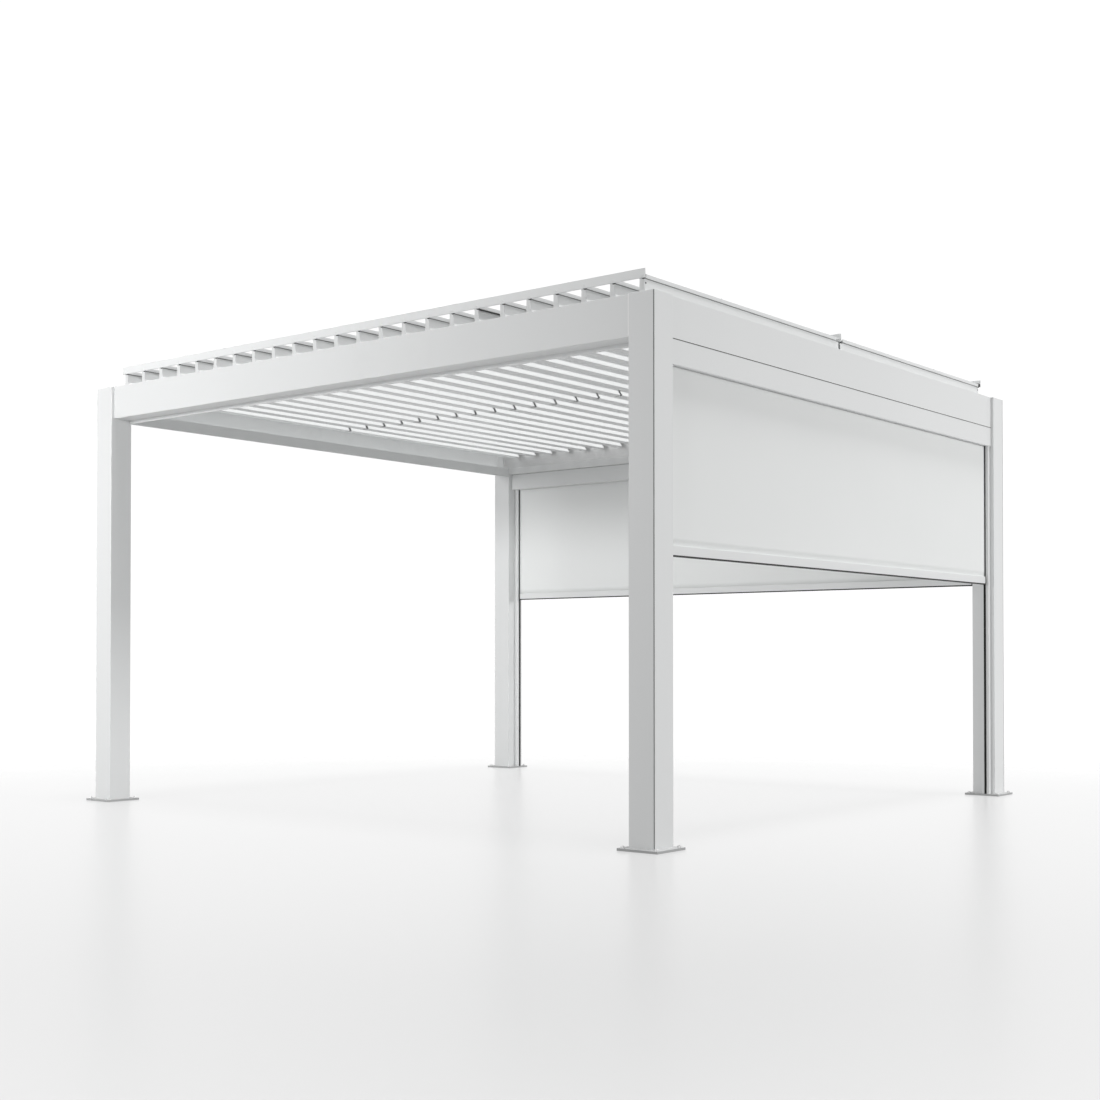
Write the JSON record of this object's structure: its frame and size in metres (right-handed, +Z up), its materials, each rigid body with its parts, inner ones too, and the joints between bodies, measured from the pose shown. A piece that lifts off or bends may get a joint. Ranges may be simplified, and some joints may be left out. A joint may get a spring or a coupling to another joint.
{
  "type": "louvred pergola",
  "caption": "Free-standing square pergola with a roof of turning louvers on four posts with foot plates, and half-lowered roller screens on two sides.",
  "frame": {"origin": "on the ground under the middle of the roof", "axes": "+Z up, +X along the open front towards the screen side, +Y from the open front to the rear screen"},
  "size_m": [4.38, 4.08, 2.731],
  "materials": {
    "frame_white": "satin powder coat",
    "louver_white": "satin powder coat",
    "rail_metal": "mill finish",
    "roller_metal": "anodised",
    "screen_cloth": "fine woven screen",
    "black_rubber": "matt",
    "black_metal": "satin black"
  },
  "bodies": {
    "frame": {"post_near": "frame_white", "post_right": "frame_white", "post_rear": "frame_white", "post_left": "frame_white", "corner_covers": "frame_white", "base_plates": "frame_white", "beam_front": "frame_white", "beam_right": "frame_white", "beam_rear": "frame_white", "beam_left": "frame_white", "bearing_rails": "rail_metal", "screen_guides": "frame_white", "screen_rollers": "roller_metal", "headbox_right": "frame_white", "screen_fabric_right": "screen_cloth", "bottom_bar_right": "frame_white", "headbox_rear": "frame_white", "screen_fabric_rear": "screen_cloth", "bottom_bar_rear": "frame_white", "bar_trims": "black_rubber"},
    "louver_01": {"louver_01": "louver_white"},
    "louver_02": {"louver_02": "louver_white"},
    "louver_03": {"louver_03": "louver_white"},
    "louver_04": {"louver_04": "louver_white"},
    "louver_05": {"louver_05": "louver_white"},
    "louver_06": {"louver_06": "louver_white"},
    "louver_07": {"louver_07": "louver_white", "drive_rod": "black_metal"},
    "louver_08": {"louver_08": "louver_white"},
    "louver_09": {"louver_09": "louver_white"},
    "louver_10": {"louver_10": "louver_white"},
    "louver_11": {"louver_11": "louver_white"},
    "louver_12": {"louver_12": "louver_white"},
    "louver_13": {"louver_13": "louver_white"},
    "louver_14": {"louver_14": "louver_white"},
    "louver_15": {"louver_15": "louver_white"},
    "louver_16": {"louver_16": "louver_white"},
    "louver_17": {"louver_17": "louver_white"},
    "louver_18": {"louver_18": "louver_white"},
    "louver_19": {"louver_19": "louver_white"},
    "louver_20": {"louver_20": "louver_white"},
    "louver_21": {"louver_21": "louver_white"},
    "louver_22": {"louver_22": "louver_white"},
    "louver_23": {"louver_23": "louver_white"},
    "louver_24": {"louver_24": "louver_white"},
    "tie_bars": {"tie_bars": "louver_white"}
  },
  "joints": [
    {"name": "louver_01_turn", "type": "hinge", "parent": "frame", "child": "louver_01", "pos_m": [2.01, 0, 2.575], "axis": [0, -1, 0], "range_deg": [0, 83]},
    {"name": "louver_02_turn", "type": "hinge", "parent": "frame", "child": "louver_02", "pos_m": [1.8366, 0, 2.575], "axis": [0, -1, 0], "range_deg": [0, 83]},
    {"name": "louver_03_turn", "type": "hinge", "parent": "frame", "child": "louver_03", "pos_m": [1.6632, 0, 2.575], "axis": [0, -1, 0], "range_deg": [0, 83]},
    {"name": "louver_04_turn", "type": "hinge", "parent": "frame", "child": "louver_04", "pos_m": [1.4898, 0, 2.575], "axis": [0, -1, 0], "range_deg": [0, 83]},
    {"name": "louver_05_turn", "type": "hinge", "parent": "frame", "child": "louver_05", "pos_m": [1.3164, 0, 2.575], "axis": [0, -1, 0], "range_deg": [0, 83]},
    {"name": "louver_06_turn", "type": "hinge", "parent": "frame", "child": "louver_06", "pos_m": [1.143, 0, 2.575], "axis": [0, -1, 0], "range_deg": [0, 83]},
    {"name": "louver_07_turn", "type": "hinge", "parent": "frame", "child": "louver_07", "pos_m": [0.9696, 0, 2.575], "axis": [0, -1, 0], "range_deg": [0, 83]},
    {"name": "louver_08_turn", "type": "hinge", "parent": "frame", "child": "louver_08", "pos_m": [0.7962, 0, 2.575], "axis": [0, -1, 0], "range_deg": [0, 83]},
    {"name": "louver_09_turn", "type": "hinge", "parent": "frame", "child": "louver_09", "pos_m": [0.6228, 0, 2.575], "axis": [0, -1, 0], "range_deg": [0, 83]},
    {"name": "louver_10_turn", "type": "hinge", "parent": "frame", "child": "louver_10", "pos_m": [0.4494, 0, 2.575], "axis": [0, -1, 0], "range_deg": [0, 83]},
    {"name": "louver_11_turn", "type": "hinge", "parent": "frame", "child": "louver_11", "pos_m": [0.276, 0, 2.575], "axis": [0, -1, 0], "range_deg": [0, 83]},
    {"name": "louver_12_turn", "type": "hinge", "parent": "frame", "child": "louver_12", "pos_m": [0.1026, 0, 2.575], "axis": [0, -1, 0], "range_deg": [0, 83]},
    {"name": "louver_13_turn", "type": "hinge", "parent": "frame", "child": "louver_13", "pos_m": [-0.0708, 0, 2.575], "axis": [0, -1, 0], "range_deg": [0, 83]},
    {"name": "louver_14_turn", "type": "hinge", "parent": "frame", "child": "louver_14", "pos_m": [-0.2442, 0, 2.575], "axis": [0, -1, 0], "range_deg": [0, 83]},
    {"name": "louver_15_turn", "type": "hinge", "parent": "frame", "child": "louver_15", "pos_m": [-0.4176, 0, 2.575], "axis": [0, -1, 0], "range_deg": [0, 83]},
    {"name": "louver_16_turn", "type": "hinge", "parent": "frame", "child": "louver_16", "pos_m": [-0.591, 0, 2.575], "axis": [0, -1, 0], "range_deg": [0, 83]},
    {"name": "louver_17_turn", "type": "hinge", "parent": "frame", "child": "louver_17", "pos_m": [-0.7644, 0, 2.575], "axis": [0, -1, 0], "range_deg": [0, 83]},
    {"name": "louver_18_turn", "type": "hinge", "parent": "frame", "child": "louver_18", "pos_m": [-0.9378, 0, 2.575], "axis": [0, -1, 0], "range_deg": [0, 83]},
    {"name": "louver_19_turn", "type": "hinge", "parent": "frame", "child": "louver_19", "pos_m": [-1.1112, 0, 2.575], "axis": [0, -1, 0], "range_deg": [0, 83]},
    {"name": "louver_20_turn", "type": "hinge", "parent": "frame", "child": "louver_20", "pos_m": [-1.2846, 0, 2.575], "axis": [0, -1, 0], "range_deg": [0, 83]},
    {"name": "louver_21_turn", "type": "hinge", "parent": "frame", "child": "louver_21", "pos_m": [-1.458, 0, 2.575], "axis": [0, -1, 0], "range_deg": [0, 83]},
    {"name": "louver_22_turn", "type": "hinge", "parent": "frame", "child": "louver_22", "pos_m": [-1.6314, 0, 2.575], "axis": [0, -1, 0], "range_deg": [0, 83]},
    {"name": "louver_23_turn", "type": "hinge", "parent": "frame", "child": "louver_23", "pos_m": [-1.8048, 0, 2.575], "axis": [0, -1, 0], "range_deg": [0, 83]},
    {"name": "louver_24_turn", "type": "hinge", "parent": "frame", "child": "louver_24", "pos_m": [-1.9782, 0, 2.575], "axis": [0, -1, 0], "range_deg": [0, 83]},
    {"name": "tie_bar_level", "type": "hinge", "parent": "louver_01", "child": "tie_bars", "pos_m": [2.02, 0, 2.7], "axis": [0, -1, 0], "range_deg": [-83, 0]}
  ],
  "couplings": [
    {"joint": "louver_02_turn", "follows": "louver_01_turn", "ratio": 1},
    {"joint": "louver_03_turn", "follows": "louver_01_turn", "ratio": 1},
    {"joint": "louver_04_turn", "follows": "louver_01_turn", "ratio": 1},
    {"joint": "louver_05_turn", "follows": "louver_01_turn", "ratio": 1},
    {"joint": "louver_06_turn", "follows": "louver_01_turn", "ratio": 1},
    {"joint": "louver_07_turn", "follows": "louver_01_turn", "ratio": 1},
    {"joint": "louver_08_turn", "follows": "louver_01_turn", "ratio": 1},
    {"joint": "louver_09_turn", "follows": "louver_01_turn", "ratio": 1},
    {"joint": "louver_10_turn", "follows": "louver_01_turn", "ratio": 1},
    {"joint": "louver_11_turn", "follows": "louver_01_turn", "ratio": 1},
    {"joint": "louver_12_turn", "follows": "louver_01_turn", "ratio": 1},
    {"joint": "louver_13_turn", "follows": "louver_01_turn", "ratio": 1},
    {"joint": "louver_14_turn", "follows": "louver_01_turn", "ratio": 1},
    {"joint": "louver_15_turn", "follows": "louver_01_turn", "ratio": 1},
    {"joint": "louver_16_turn", "follows": "louver_01_turn", "ratio": 1},
    {"joint": "louver_17_turn", "follows": "louver_01_turn", "ratio": 1},
    {"joint": "louver_18_turn", "follows": "louver_01_turn", "ratio": 1},
    {"joint": "louver_19_turn", "follows": "louver_01_turn", "ratio": 1},
    {"joint": "louver_20_turn", "follows": "louver_01_turn", "ratio": 1},
    {"joint": "louver_21_turn", "follows": "louver_01_turn", "ratio": 1},
    {"joint": "louver_22_turn", "follows": "louver_01_turn", "ratio": 1},
    {"joint": "louver_23_turn", "follows": "louver_01_turn", "ratio": 1},
    {"joint": "louver_24_turn", "follows": "louver_01_turn", "ratio": 1},
    {"joint": "tie_bar_level", "follows": "louver_01_turn", "ratio": -1}
  ]
}
